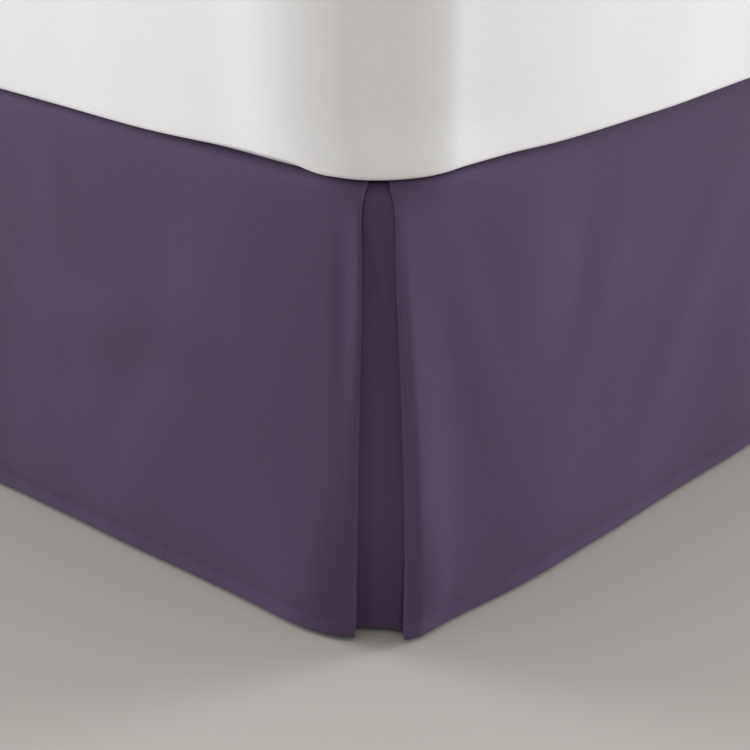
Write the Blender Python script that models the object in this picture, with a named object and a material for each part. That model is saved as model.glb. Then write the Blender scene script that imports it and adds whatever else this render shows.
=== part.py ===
"""Bed skirt with an inverted pleat at each foot corner, on the plain bed that it hangs from.

Metres, +Z up. The origin is on the floor under the middle of the mattress. The foot of the bed
is at -Y and its head at +Y. The skirt covers the foot and both long sides; the head is open.

The skirt is cut as a deck, which lies under the mattress, three drops sewn round the deck's edge,
and an insert behind each foot corner, where two drops end in soft folds and leave the pleat's gap.
A drop is a thin sheet: rows of points from the hem up, over the bed's shoulder, to the deck's seam.
"""

import math
from collections import namedtuple

import bmesh
import bpy

# ---- driving sizes -------------------------------------------------------------------------------

CLOTH = 0.0015  # thickness of the cloth
GAP = 0.0003  # between two pieces that touch

LEG_HEIGHT = 0.127
LEG_TOP_RADIUS = 0.030
LEG_FOOT_RADIUS = 0.021
LEG_SIDES = 24
LEG_INSET = 0.110  # from the foundation's sides to a leg's middle

FOUNDATION_TOP = 0.3555
FOUNDATION_FOOT_CORNER = 0.098
FOUNDATION_HEAD_CORNER = 0.040
FOUNDATION_TOP_EDGE = 0.014
FOUNDATION_BOTTOM_EDGE = 0.005

MATTRESS_HALF_WIDTH = 0.7815
MATTRESS_HALF_LENGTH = 1.022
MATTRESS_HEIGHT = 0.280
MATTRESS_CORNER = 0.110
MATTRESS_TOP_EDGE = 0.036
MATTRESS_BOTTOM_EDGE = 0.012

SKIRT_HALF_WIDTH = 0.760  # from the middle to the plane in which a side drop's hem hangs
SKIRT_FOOT = -1.015  # the plane in which the foot drop's hem hangs
SKIRT_HEAD = 1.012  # where the side drops end
HEM_HEIGHT = 0.004  # the hem hangs just clear of the floor
FOUNDATION_INSET = 0.012  # from the hem's plane to the foundation's side

TUCK = 0.004  # the top of a drop hangs this far inside its hem
SHOULDER_RADIUS = 0.008  # a drop turns over the bed's edge on this radius
SEAM_RUN = 0.006  # and lies flat for this far, to the deck's seam
CORNER_RADIUS = 0.070  # of the skirt's foot corners, at the shoulder
SEAM_SLACK = 0.0010  # added room between the deck's round corner and the drops'

DECK_BOTTOM = FOUNDATION_TOP + GAP
DECK_MIDDLE = DECK_BOTTOM + CLOTH / 2
SHOULDER_START = DECK_MIDDLE - SHOULDER_RADIUS
MATTRESS_BOTTOM = DECK_BOTTOM + CLOTH + GAP

# ---- the pleat -----------------------------------------------------------------------------------
# A drop's outline beside the pleat, seen from above. "along" runs from the bed's sharp corner, along
# the drop's own plane. The fold's tip is where the outline starts. The hem curls in at the tip, swells
# out past it, and leans in towards the pleat. At the shoulder the tip lies on the round corner, turned
# by tip_turn degrees from the drop's own plane.
Outline = namedtuple(
    "Outline",
    "tip_along curl curl_length swell swell_at swell_width lean lean_length tip_turn",
)
FOOT_OUTLINE = Outline(0.0416, 0.0098, 0.009, 0.0050, 0.088, 0.038, 0.0, 0.165, 33.7)
SIDE_OUTLINE = Outline(0.0331, 0.0024, 0.004, 0.0, 0.088, 0.038, 0.0115, 0.165, 43.9)

# How far a row has gone from the hem's outline to the shoulder's: powers of its share of the height,
# and how much each counts. The last one is the seam, which gathers the pleat just below the mattress.
SHOULDER_WEIGHTS = ((1, 0.55), (2, 0.12), (24, 0.33))

FOLD_ROLL_TOP = 0.0015  # radius on which a drop turns back at the fold, at the shoulder
FOLD_ROLL_HEM = 0.0050  # and at the hem, where the fold opens
RETURN_LENGTH = 0.025  # how far the cloth runs back behind the fold
INSERT_BEHIND_FOLD = 0.0026  # from the returned cloth to the insert, middle to middle
INSERT_BEHIND_DROP = 0.0022  # from a drop to the insert's flank, past the returned cloth
INSERT_FADE = (0.029, 0.058)  # where the flank closes up to the drop, from the fold
TONGUE_BEND = 0.6  # share of the insert's run in to the seam that is bent
TONGUE_EASE = 0.3  # share of that bend at its first point

# ---- folds ---------------------------------------------------------------------------------------
# Soft ridges (rise above 0) and troughs in a drop. seam and hem say where the fold crosses the top and
# the bottom edge, at and reach where it is strongest and how far up and down it goes, as shares of the
# drop. The foot drop's run from its right corner, and a side drop's from the foot.
Fold = namedtuple("Fold", "seam hem width rise at reach")
FOOT_FOLDS = (
    Fold(0.144, 0.320, 0.045, 0.0030, 0.45, 0.45),
    Fold(0.305, 0.305, 0.060, 0.0035, 0.52, 0.13),
    Fold(0.400, 0.428, 0.030, -0.0020, 0.15, 0.30),
    Fold(0.560, 0.520, 0.070, 0.0040, 0.25, 0.45),
)
RIGHT_FOLDS = (
    Fold(0.073, 0.200, 0.035, 0.0020, 0.60, 0.35),
    Fold(0.320, 0.165, 0.040, 0.0025, 0.65, 0.35),
    Fold(0.484, 0.320, 0.045, 0.0030, 0.50, 0.35),
    Fold(0.473, 0.473, 0.050, 0.0035, 0.25, 0.20),
)
LEFT_FOLDS = (
    Fold(0.110, 0.240, 0.045, 0.0025, 0.50, 0.40),
    Fold(0.390, 0.300, 0.050, 0.0030, 0.40, 0.35),
)
FOLD_FADE = 6  # power of the height's share by which the folds die out at the shoulder

FAR_FOLD_PITCH = 0.190  # the rest of a drop has a like fold about this far apart
FAR_FOLD_SHIFT = 0.25  # of the pitch, to and fro
FAR_FOLD_WIDTH = 0.070
FAR_FOLD_RISE = 0.0035
FAR_FOLD_LEAN = 0.090
FAR_FOLD_AT = 0.35
FAR_FOLD_REACH = 0.40
FAR_FOLD_END = 0.1  # the last one stays this far from the foot drop's left corner
# Radians from one such fold to the next, for its place, its lean, its rise and its height.
PLACE_TURN, LEAN_TURN, RISE_TURN, HEIGHT_TURN = 2.4, 1.7, 3.1, 1.0

# ---- the grid of points in a sheet ---------------------------------------------------------------

DROP_ROWS = (0.0, 0.04, 0.18, 0.36, 0.54, 0.72, 0.87, 0.95, 0.985, 1.0)  # shares of the drop's height
SHOULDER_TURNS = (45.0, 90.0)  # degrees round the shoulder
NEAR_FOLD = (0.0, 0.003, 0.007, 0.012, 0.018, 0.026, 0.036, 0.048, 0.064, 0.084, 0.110, 0.140, 0.175)
FAR_PITCH = 0.055  # between columns past the last of those
FOLD_STEPS = 6  # columns round the fold's roll
RETURN_STEPS = 3
NOTCH = [None] * (len(SHOULDER_TURNS) + 1)  # in a column that ends at the shoulder
FLANK = (0.075, 0.062, 0.050, 0.040, 0.030, 0.020, 0.010, 0.0)  # the insert's columns behind a drop
GAP_COLUMNS = (0.04, 0.30, 0.50, 0.70, 0.96)  # and those across the pleat's gap, as shares of it
NORMAL_STEP = 0.0005  # over which a cloth's direction is measured

# ---- finishes ------------------------------------------------------------------------------------

Finish = namedtuple("Finish", "colour roughness")
MICROFIBRE = Finish((0.093, 0.065, 0.114), 0.85)
COVER = Finish((0.76, 0.76, 0.78), 0.80)
TICKING = Finish((0.62, 0.60, 0.56), 0.85)
WOOD = Finish((0.20, 0.13, 0.08), 0.45)
SMOOTH_BELOW = 40.0  # degrees between two faces that are shaded as one surface

SAME = 1e-6  # two heights or places this close are the same


# ---- outlines ------------------------------------------------------------------------------------


def top_weight(share):
    """How much of the outline at the shoulder a row has, and so how little of the hem's."""
    return sum(part * share**power for power, part in SHOULDER_WEIGHTS)


def hem_outline(outline, from_tip):
    """How far outside its plane the hem hangs."""
    along = outline.tip_along + from_tip
    swell = outline.swell * math.exp(-(((along - outline.swell_at) / outline.swell_width) ** 2))
    curl = outline.curl * math.exp(-from_tip / outline.curl_length)
    lean = outline.lean * (0.5 + 0.5 * math.cos(math.pi * min(from_tip / outline.lean_length, 1.0)))
    return along, swell - curl - lean


def top_outline(outline, from_tip):
    """How far outside the hem's plane the drop hangs at the shoulder, round the corner and past it."""
    corner_end = CORNER_RADIUS + TUCK
    along = corner_end - CORNER_RADIUS * math.sin(math.radians(outline.tip_turn)) + from_tip
    into_corner = max(corner_end - along, 0.0)
    return along, -TUCK - CORNER_RADIUS + math.sqrt(CORNER_RADIUS**2 - into_corner**2)


def fold_rise(folds, along, share):
    """How far the folds lift the cloth off its outline."""
    rise = 0.0
    for fold in folds:
        middle = fold.hem + (fold.seam - fold.hem) * share
        across = math.exp(-(((along - middle) / fold.width) ** 2))
        rise += fold.rise * across * math.exp(-(((share - fold.at) / fold.reach) ** 2))
    return rise * (1.0 - share**FOLD_FADE)


def far_folds(start, end):
    """Like folds along the rest of a drop, unevenly spaced and leaning to and fro."""
    folds = []
    for i in range(int((end - start) / FAR_FOLD_PITCH)):
        seam = start + FAR_FOLD_PITCH * (i + 0.5 + FAR_FOLD_SHIFT * math.sin(PLACE_TURN * i))
        lean = FAR_FOLD_LEAN * math.sin(LEAN_TURN * i + 1.0)
        rise = FAR_FOLD_RISE * (0.7 + 0.3 * math.cos(RISE_TURN * i))
        at = FAR_FOLD_AT + 0.15 * math.sin(HEIGHT_TURN * i)
        folds.append(Fold(seam, seam + lean, FAR_FOLD_WIDTH, rise, at, FAR_FOLD_REACH))
    return tuple(folds)


class Drop:
    """One end of a drop, in its own plane: along from the bed's sharp corner, and outwards."""

    def __init__(self, outline, folds, side, place, folds_from=None):
        self.outline = outline
        self.folds = folds
        self.side = side  # +1 beside the right foot corner, -1 beside the left
        self.place = place  # turns (side, along, outwards) into x and y
        self.folds_from = folds_from  # the other corner's distance, where the folds are counted from it

    def on_plane(self, from_fold, share):
        """Along and outwards at a distance from the fold, whose roll starts its radius before the tip."""
        weight = top_weight(share)
        from_tip = from_fold + fold_roll(share)
        hem_along, hem_out = hem_outline(self.outline, from_tip)
        top_along, top_out = top_outline(self.outline, from_tip)
        along = hem_along + (top_along - hem_along) * weight
        outwards = hem_out + (top_out - hem_out) * weight
        counted = along if self.folds_from is None else self.folds_from - along
        return along, outwards + fold_rise(self.folds, counted, share)

    def normal(self, from_fold, share):
        """The way out of the cloth there, along and outwards."""
        along_a, out_a = self.on_plane(from_fold, share)
        along_b, out_b = self.on_plane(from_fold + NORMAL_STEP, share)
        length = math.hypot(along_b - along_a, out_b - out_a)
        return -(out_b - out_a) / length, (along_b - along_a) / length

    def behind(self, from_fold, share, distance):
        """x and y of the point that lies this far behind the cloth."""
        along, outwards = self.on_plane(from_fold, share)
        normal_along, normal_out = self.normal(from_fold, share)
        return self.place(self.side, along - normal_along * distance, outwards - normal_out * distance)


def on_foot(side, along, outwards):
    return side * (SKIRT_HALF_WIDTH - along), SKIRT_FOOT - outwards


def on_side(side, along, outwards):
    return side * (SKIRT_HALF_WIDTH + outwards), SKIRT_FOOT + along


def height(share):
    return HEM_HEIGHT + share * (SHOULDER_START - HEM_HEIGHT)


def fold_roll(share):
    """Radius of the fold's roll at a height."""
    return FOLD_ROLL_HEM + (FOLD_ROLL_TOP - FOLD_ROLL_HEM) * share


# ---- columns of points ---------------------------------------------------------------------------


def hanging(drop, from_fold, distance_behind):
    """A column of points from the hem to the shoulder, a distance behind the cloth that may vary."""
    points = []
    for share in DROP_ROWS:
        x, y = drop.behind(from_fold, share, distance_behind(share))
        points.append((x, y, height(share)))
    return points


def over_shoulder(drop, from_fold):
    """The column's points that turn over the bed's edge and run in to the deck's seam."""
    points = []
    for turn in SHOULDER_TURNS:
        angle = math.radians(turn)
        inwards = SHOULDER_RADIUS * (1.0 - math.cos(angle))
        x, y = drop.behind(from_fold, 1.0, inwards)
        points.append((x, y, SHOULDER_START + SHOULDER_RADIUS * math.sin(angle)))
    x, y = drop.behind(from_fold, 1.0, SHOULDER_RADIUS + SEAM_RUN)
    points.append((x, y, DECK_MIDDLE))
    return points


def round_fold(drop, turn):
    """A column on the fold's roll, turned from the drop's face (0 degrees) to its back (180)."""
    points = []
    for share in DROP_ROWS:
        radius = fold_roll(share)
        along, outwards = drop.on_plane(0.0, share)
        normal_along, normal_out = drop.normal(0.0, share)
        angle = math.radians(turn)
        back = radius * (1.0 - math.cos(angle))
        past = radius * math.sin(angle)
        # The tip points along the cloth, away from the drop, so the way past it is the normal turned.
        along += -normal_along * back - normal_out * past
        outwards += -normal_out * back + normal_along * past
        x, y = drop.place(drop.side, along, outwards)
        points.append((x, y, height(share)))
    return points


def drop_end(drop, distances):
    """Columns of one end of a drop, from the returned cloth round the fold and out along the drop."""
    columns = []
    for i in range(RETURN_STEPS, 0, -1):
        from_fold = RETURN_LENGTH * i / RETURN_STEPS
        columns.append(hanging(drop, from_fold, lambda share: 2.0 * fold_roll(share)) + NOTCH)
    for i in range(FOLD_STEPS, 0, -1):
        columns.append(round_fold(drop, 180.0 * i / FOLD_STEPS) + NOTCH)
    for from_fold in distances:
        columns.append(hanging(drop, from_fold, lambda share: 0.0) + over_shoulder(drop, from_fold))
    return columns


def out_to(outline, end_along):
    """Distances from the fold: close together beside it, then even, up to a line across the drop."""
    start = NEAR_FOLD[-1]
    end = end_along - outline.tip_along
    steps = math.ceil((end - start) / FAR_PITCH)
    return NEAR_FOLD + tuple(start + (end - start) * i / steps for i in range(1, steps + 1))


# ---- objects -------------------------------------------------------------------------------------


def material(name, finish):
    made = bpy.data.materials.new(name)
    made.use_nodes = True
    shader = made.node_tree.nodes["Principled BSDF"]
    shader.inputs["Base Color"].default_value = (*finish.colour, 1.0)
    shader.inputs["Roughness"].default_value = finish.roughness
    shader.inputs["Metallic"].default_value = 0.0
    return made


def add_object(name, mesh_data, finish):
    """Turns a bmesh into a named object with its own material, shaded smooth across soft angles."""
    mesh = bpy.data.meshes.new(name)
    mesh_data.to_mesh(mesh)
    mesh_data.free()
    mesh.materials.append(material(name, finish))
    mesh.shade_smooth()
    mesh.set_sharp_from_angle(angle=math.radians(SMOOTH_BELOW))
    made = bpy.data.objects.new(name, mesh)
    bpy.context.scene.collection.objects.link(made)
    return made


def sheet(name, columns):
    """A cloth sheet through columns of points, its thickness given by a modifier. None leaves a notch."""
    built = bmesh.new()
    grid = [[built.verts.new(point) if point else None for point in column] for column in columns]
    for left, right in zip(grid, grid[1:]):
        for i in range(len(left) - 1):
            corners = [left[i], right[i], right[i + 1], left[i + 1]]
            if all(corners):
                built.faces.new(corners)
    made = add_object(name, built, MICROFIBRE)
    solid = made.modifiers.new("cloth", "SOLIDIFY")
    solid.thickness = CLOTH
    solid.offset = 0.0
    solid.use_even_offset = True
    return made


def upright_edges(built, at_end):
    """The upright edges of a block whose y passes a test."""
    return [
        edge
        for edge in built.edges
        if abs(edge.verts[0].co.z - edge.verts[1].co.z) > SAME and at_end(edge.verts[0].co.y)
    ]


def flat_edges(built, z):
    """The edges that lie at one height."""
    return [edge for edge in built.edges if all(abs(vert.co.z - z) < SAME for vert in edge.verts)]


def bevel(built, edges, radius, segments):
    bmesh.ops.bevel(
        built,
        geom=edges,
        offset=radius,
        offset_type="OFFSET",
        segments=segments,
        profile=0.5,
        affect="EDGES",
    )


def block(lowest, highest):
    """A bmesh box between two corners."""
    built = bmesh.new()
    bmesh.ops.create_cube(built, size=1.0)
    for vert in built.verts:
        for k in range(3):
            vert.co[k] = lowest[k] if vert.co[k] < 0 else highest[k]
    return built


# ---- the bed -------------------------------------------------------------------------------------


def make_mattress():
    top = MATTRESS_BOTTOM + MATTRESS_HEIGHT
    built = block(
        (-MATTRESS_HALF_WIDTH, -MATTRESS_HALF_LENGTH, MATTRESS_BOTTOM),
        (MATTRESS_HALF_WIDTH, MATTRESS_HALF_LENGTH, top),
    )
    bevel(built, upright_edges(built, lambda y: True), MATTRESS_CORNER, segments=7)
    bevel(built, flat_edges(built, top), MATTRESS_TOP_EDGE, segments=4)
    bevel(built, flat_edges(built, MATTRESS_BOTTOM), MATTRESS_BOTTOM_EDGE, segments=2)
    return add_object("mattress", built, COVER)


def make_foundation():
    bottom = LEG_HEIGHT + GAP
    half_width = SKIRT_HALF_WIDTH - FOUNDATION_INSET
    head = SKIRT_HEAD - CLOTH
    built = block(
        (-half_width, SKIRT_FOOT + FOUNDATION_INSET, bottom),
        (half_width, head, FOUNDATION_TOP),
    )
    bevel(built, upright_edges(built, lambda y: y < 0), FOUNDATION_FOOT_CORNER, segments=7)
    bevel(built, upright_edges(built, lambda y: y > head - SAME), FOUNDATION_HEAD_CORNER, segments=4)
    bevel(built, flat_edges(built, FOUNDATION_TOP), FOUNDATION_TOP_EDGE, segments=3)
    bevel(built, flat_edges(built, bottom), FOUNDATION_BOTTOM_EDGE, segments=1)
    return add_object("foundation", built, TICKING)


def make_legs():
    """Six turned legs, which taper to the floor and carry the foundation."""
    across = SKIRT_HALF_WIDTH - FOUNDATION_INSET - LEG_INSET
    foot = SKIRT_FOOT + FOUNDATION_INSET + LEG_INSET
    head = SKIRT_HEAD - LEG_INSET
    rows = {"foot": foot, "middle": (foot + head) / 2, "head": head}
    for side_name, side in (("right", 1), ("left", -1)):
        for row_name, y in rows.items():
            built = bmesh.new()
            bmesh.ops.create_cone(
                built,
                cap_ends=True,
                segments=LEG_SIDES,
                radius1=LEG_FOOT_RADIUS,
                radius2=LEG_TOP_RADIUS,
                depth=LEG_HEIGHT,
            )
            leg = add_object(f"leg_{row_name}_{side_name}", built, WOOD)
            leg.location = (side * across, y, LEG_HEIGHT / 2)


# ---- the skirt -----------------------------------------------------------------------------------


def make_deck():
    """The flat cloth between foundation and mattress, which carries the drops."""
    seam_inset = TUCK + SHOULDER_RADIUS + SEAM_RUN + GAP
    half_width = SKIRT_HALF_WIDTH - seam_inset
    built = block(
        (-half_width, SKIRT_FOOT + seam_inset, DECK_BOTTOM),
        (half_width, SKIRT_HEAD, DECK_BOTTOM + CLOTH),
    )
    radius = CORNER_RADIUS - SHOULDER_RADIUS - SEAM_RUN + SEAM_SLACK
    bevel(built, upright_edges(built, lambda y: y < 0), radius, segments=10)
    return add_object("deck", built, MICROFIBRE)


def foot_end(side):
    """The foot drop beside one corner. Its folds are counted from the right corner on both sides."""
    width = 2 * SKIRT_HALF_WIDTH
    folds = FOOT_FOLDS + far_folds(FOOT_FOLDS[-1].seam + FAR_FOLD_PITCH / 2, width - FAR_FOLD_END)
    return Drop(FOOT_OUTLINE, folds, side, on_foot, folds_from=None if side > 0 else width)


def side_end(side):
    """A side drop beside its foot corner."""
    near = RIGHT_FOLDS if side > 0 else LEFT_FOLDS
    length = SKIRT_HEAD - SKIRT_FOOT
    return Drop(SIDE_OUTLINE, near + far_folds(near[-1].seam + FAR_FOLD_PITCH / 2, length), side, on_side)


def make_foot_drop():
    """Two ends, each from its fold to the middle, where the last column of one is left out."""
    right = drop_end(foot_end(1), out_to(FOOT_OUTLINE, SKIRT_HALF_WIDTH))
    left = drop_end(foot_end(-1), out_to(FOOT_OUTLINE, SKIRT_HALF_WIDTH))
    return sheet("foot_drop", left + right[-2::-1])


def make_side_drop(name, side):
    columns = drop_end(side_end(side), out_to(SIDE_OUTLINE, SKIRT_HEAD - SKIRT_FOOT))
    return sheet(name, columns)


def behind_fold(from_fold):
    """How far behind a drop its insert's flank hangs: clear of the returned cloth, then close up."""
    start, end = INSERT_FADE
    fade = min(max((end - from_fold) / (end - start), 0.0), 1.0)
    fade = fade * fade * (3.0 - 2.0 * fade)
    past_return = INSERT_BEHIND_FOLD - INSERT_BEHIND_DROP
    return lambda share: INSERT_BEHIND_DROP + fade * (2.0 * fold_roll(share) + past_return)


def tongue(side, below):
    """Carries a column in the pleat's gap up and in to the deck's seam, between the drops' shoulders."""
    centre_x = side * (SKIRT_HALF_WIDTH - CORNER_RADIUS - TUCK)
    centre_y = SKIRT_FOOT + CORNER_RADIUS + TUCK
    across, along = below[0] - centre_x, below[1] - centre_y
    away = math.hypot(across, along)
    seam = CORNER_RADIUS - SHOULDER_RADIUS - SEAM_RUN
    bend = (away - seam) * TONGUE_BEND
    ease = bend * TONGUE_EASE
    steps = ((away - ease, DECK_MIDDLE - ease), (away - bend, DECK_MIDDLE), (seam, DECK_MIDDLE))
    return [(centre_x + across * r / away, centre_y + along * r / away, z) for r, z in steps]


def make_corner_pleat(name, side):
    """The insert behind a corner: a flank behind each drop, and the pleat's back across the gap."""
    foot = [hanging(foot_end(side), from_fold, behind_fold(from_fold)) for from_fold in FLANK]
    beside = [hanging(side_end(side), from_fold, behind_fold(from_fold)) for from_fold in FLANK[::-1]]
    across = []
    for part in GAP_COLUMNS:
        ends = zip(foot[-1], beside[0])
        column = [tuple(a + (b - a) * part for a, b in zip(start, end)) for start, end in ends]
        across.append(column + tongue(side, column[-1]))
    return sheet(name, [column + NOTCH for column in foot] + across + [column + NOTCH for column in beside])


def main():
    for old in list(bpy.data.objects):
        bpy.data.objects.remove(old)
    make_legs()
    make_foundation()
    make_deck()
    make_foot_drop()
    make_side_drop("side_drop_right", 1)
    make_side_drop("side_drop_left", -1)
    make_corner_pleat("corner_pleat_right", 1)
    make_corner_pleat("corner_pleat_left", -1)
    make_mattress()


main()
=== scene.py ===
"""Looks of a tailored bed skirt with an inverted pleat at each foot corner, and of its plain bed.

Metres, +Z up, with the foot of the bed at -Y and its head at +Y. The skirt's drops, the inserts
behind its pleats and its deck are thin sheets of cloth, each laid on its own solid's folds. The
mattress in its cover, the foundation and the legs stand in the places that their solids hold.
"""

import math
from collections import namedtuple
from functools import partial

import bmesh
import bpy
from mathutils import Matrix, Vector, noise


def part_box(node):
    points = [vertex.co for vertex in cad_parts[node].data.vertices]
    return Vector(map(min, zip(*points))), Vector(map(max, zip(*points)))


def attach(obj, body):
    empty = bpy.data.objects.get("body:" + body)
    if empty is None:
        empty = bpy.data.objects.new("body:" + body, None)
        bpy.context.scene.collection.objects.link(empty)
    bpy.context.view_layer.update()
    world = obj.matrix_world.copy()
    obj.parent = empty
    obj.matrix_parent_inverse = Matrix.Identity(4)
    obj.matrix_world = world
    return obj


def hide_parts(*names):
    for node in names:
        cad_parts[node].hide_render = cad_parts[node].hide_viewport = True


bl_info = {
    "name": "Bed Skirt",
    "version": (1, 0, 0),
    "blender": (4, 5, 0),
    "location": "3D View > Sidebar > Bed Skirt",
    "description": "Builds a tailored bed skirt with corner pleats on a plain bed, and a stage to show it on",
    "category": "Object",
}

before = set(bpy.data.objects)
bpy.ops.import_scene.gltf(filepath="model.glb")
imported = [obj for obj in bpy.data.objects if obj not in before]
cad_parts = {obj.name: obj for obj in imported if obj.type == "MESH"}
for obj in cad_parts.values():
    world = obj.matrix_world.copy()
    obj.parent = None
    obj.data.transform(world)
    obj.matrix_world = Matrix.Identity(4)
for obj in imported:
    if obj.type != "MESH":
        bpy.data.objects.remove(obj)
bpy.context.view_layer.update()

# ---- places, worked out from the frame ----

FOUNDATION_LOW, FOUNDATION_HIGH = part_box("foundation")
MATTRESS_LOW, MATTRESS_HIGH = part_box("mattress")
DECK_LOW, DECK_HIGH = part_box("deck")

HANG_CLEARANCE = 0.012  # from the foundation's side out to the plane that a drop's hem hangs in
HALF_WIDTH = FOUNDATION_HIGH.x + HANG_CLEARANCE
FOOT_Y = FOUNDATION_LOW.y - HANG_CLEARANCE
HEAD_Y = DECK_HIGH.y
HEM_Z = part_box("foot_drop")[0].z
DECK_Z = (DECK_LOW.z + DECK_HIGH.z) / 2

TUCK = 0.004  # the top of a drop hangs this far inside its hem
SHOULDER_RADIUS = 0.008
SHOULDER_Z = DECK_Z - SHOULDER_RADIUS  # where a drop starts to turn over the bed's edge
SHOULDER_ARC = SHOULDER_RADIUS * math.pi / 2
SEAM_RUN = 0.006  # past the shoulder, to the deck's seam
CORNER_RADIUS = 0.070  # of the skirt's foot corners, at the shoulder
DROP_HEIGHT = SHOULDER_Z - HEM_Z

# ---- the drops' outlines and folds, as their solids have them ----

# Seen from above: "along" runs from the bed's sharp corner in the drop's own plane. The hem curls in at
# the fold's tip, swells out past it and leans in towards the pleat. A strip beside the fold, the facet,
# was pressed flat and turns in. Up the drop the tip drifts by drift times a power of the height. Close
# to the shoulder the drop takes the round corner's shape, its tip turned by tip_turn degrees: rounded_past
# is how far past the shoulder it has it fully, rounding and drift_back say how late it comes.
Outline = namedtuple(
    "Outline",
    "tip_along curl curl_length swell lean lean_length facet facet_width"
    " drift power tip_turn rounding drift_back rounded_past",
)
FOOT_OUTLINE = Outline(
    tip_along=0.0450, curl=0.0098, curl_length=0.0120, swell=0.0050, lean=0.0050, lean_length=0.115,
    facet=0.0, facet_width=0.020, drift=-0.0150, power=1, tip_turn=33.7, rounding=31, drift_back=15,
    rounded_past=0.008,
)
SIDE_OUTLINE = Outline(
    tip_along=0.0341, curl=0.0, curl_length=0.009, swell=0.0, lean=0.0115, lean_length=0.165,
    facet=0.0043, facet_width=0.0130, drift=-0.0200, power=1.65, tip_turn=43.9, rounding=34, drift_back=26,
    rounded_past=0.004,
)
SWELL_AT, SWELL_WIDTH = 0.088, 0.038
DRIFT_FADE = (0.05, 0.60)
CURL_SHORTER, CURL_POWER = 0.25, 1.3  # how the curl at the fold gets shorter and weaker up the drop
LEAN_LESS = 0.4  # of the lean is gone at the top
FACET_NARROWER, FACET_BLEND = 0.5, 0.12

ROLL_TOP, ROLL_HEM = 0.0013, 0.0018  # radius on which a drop turns back at its fold
RETURN_TOP = 0.0025  # how far behind the face the returned cloth ends
RETURN_HEM = {"foot": 0.0085, "side": 0.0050}
RETURN_LENGTH = 0.025
INSERT_BEHIND_FOLD = 0.0020
INSERT_HEM_IN, INSERT_HEM_HEIGHT = 0.0080, 0.110  # its hem hangs this much further in
INSERT_BOW = 0.0030
INSERT_BEHIND_DROP = 0.0022
INSERT_FADE = (0.029, 0.058)
INSERT_FLANK = 0.075
# The insert's soft ridges: how high, where across the gap and how wide. The low one goes and the upper
# one comes between two shares of the height, and the upper one leans.
LOW_RIDGE, LOW_RIDGE_GOES = (0.0016, 0.42, 0.16), (0.55, 0.75)
UPPER_RIDGE, UPPER_RIDGE_COMES = (0.0032, 0.25, 0.19), (0.66, 0.80)
UPPER_RIDGE_LEAN, UPPER_RIDGE_FROM = 2.9, 0.95
SEAM_SQUEEZE = 0.55  # the layers lie this much closer together in the seam

# A soft ridge (rise above 0) or trough. seam and hem say where it crosses the drop's top and bottom
# edge, at and reach where it is strongest and how far up and down it goes, as shares of the drop.
# Finer creases come first, and the fold farthest from the pleat last.
Fold = namedtuple("Fold", "seam hem width rise at reach")
FOOT_FOLDS = (
    Fold(0.045, 0.055, 0.008, -0.0016, 0.80, 0.24),
    Fold(0.345, 0.352, 0.018, 0.0009, 0.85, 0.20),
    Fold(0.262, 0.262, 0.045, 0.0024, 0.59, 0.07),
    Fold(0.262, 0.262, 0.045, -0.0020, 0.45, 0.07),
    Fold(0.330, 0.330, 0.030, -0.0012, 0.44, 0.08),
    Fold(0.030, 0.036, 0.026, -0.0020, 0.90, 0.16),
    Fold(0.140, 0.285, 0.035, 0.0014, 0.50, 0.40),
    Fold(0.305, 0.305, 0.060, 0.0022, 0.52, 0.13),
    Fold(0.400, 0.428, 0.030, -0.0012, 0.15, 0.30),
    Fold(0.560, 0.520, 0.070, 0.0040, 0.25, 0.45),
)
RIGHT_FOLDS = (
    Fold(0.036, 0.053, 0.022, 0.0024, 0.30, 0.40),
    Fold(0.150, 0.155, 0.040, 0.0020, 0.76, 0.22),
    Fold(0.226, 0.200, 0.015, -0.0009, 0.80, 0.20),
    Fold(0.016, 0.020, 0.022, -0.0020, 0.90, 0.14),
    Fold(0.055, 0.172, 0.024, 0.0018, 0.68, 0.30),
    Fold(0.300, 0.150, 0.028, 0.0020, 0.68, 0.30),
    Fold(0.460, 0.280, 0.032, 0.0024, 0.50, 0.33),
    Fold(0.473, 0.473, 0.050, 0.0035, 0.25, 0.20),
)
LEFT_FOLDS = (
    Fold(0.110, 0.240, 0.045, 0.0025, 0.50, 0.40),
    Fold(0.390, 0.300, 0.050, 0.0030, 0.40, 0.35),
)
FOLD_FADE = 6
FAR_FOLD_PITCH, FAR_FOLD_SHIFT, FAR_FOLD_LEAN = 0.190, 0.25, 0.090
FAR_FOLD_WIDTH, FAR_FOLD_RISE, FAR_FOLD_AT, FAR_FOLD_REACH = 0.070, 0.0035, 0.35, 0.40
FAR_FOLD_END = 0.1
PLACE_TURN, LEAN_TURN, RISE_TURN, HEIGHT_TURN = 2.4, 1.7, 3.1, 1.0  # radians from one fold to the next

HEM_ROLL_HEIGHT, HEM_ROLL_END = 0.020, 0.120  # above the stitches, where the roll is highest and ends
HEM_ROLL_START, HEM_ROLL_UNEVEN = 0.035, 0.8  # from the fold's tip, and how uneven it is
HEM_WAVES, PUCKERS = 7.0, 55.0  # along the hem, for each metre
PUCKER_RISE, PUCKER_WIDTH = 0.0004, 0.012
WAVES_ALONG, WAVES_UP = 9.0, 2.2  # for each metre, and in a drop's height

# ---- the grid of points in a drop ----

NEAR_FOLD_PITCH, NEAR_FOLD_END, FAR_PITCH = 0.0022, 0.075, 0.0065
ROLL_STEPS, RETURN_STEPS, SHOULDER_STEPS = 12, 6, 6
FLANK_STEPS, GAP_STEPS, DECK_STEPS = 20, 24, 48
HEM_ROWS = (0.0, 0.0012, 0.0026, 0.0044, 0.0064, 0.0084, 0.0098, 0.0110, 0.0122)
HEM_ROWS += (0.0138, 0.0158, 0.0182, 0.0210, 0.0242, 0.0278, 0.0318, 0.0362)
ROW_PITCH, TOP_ROWS, TOP_ROW_PITCH = 0.0062, 0.024, 0.003

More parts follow.
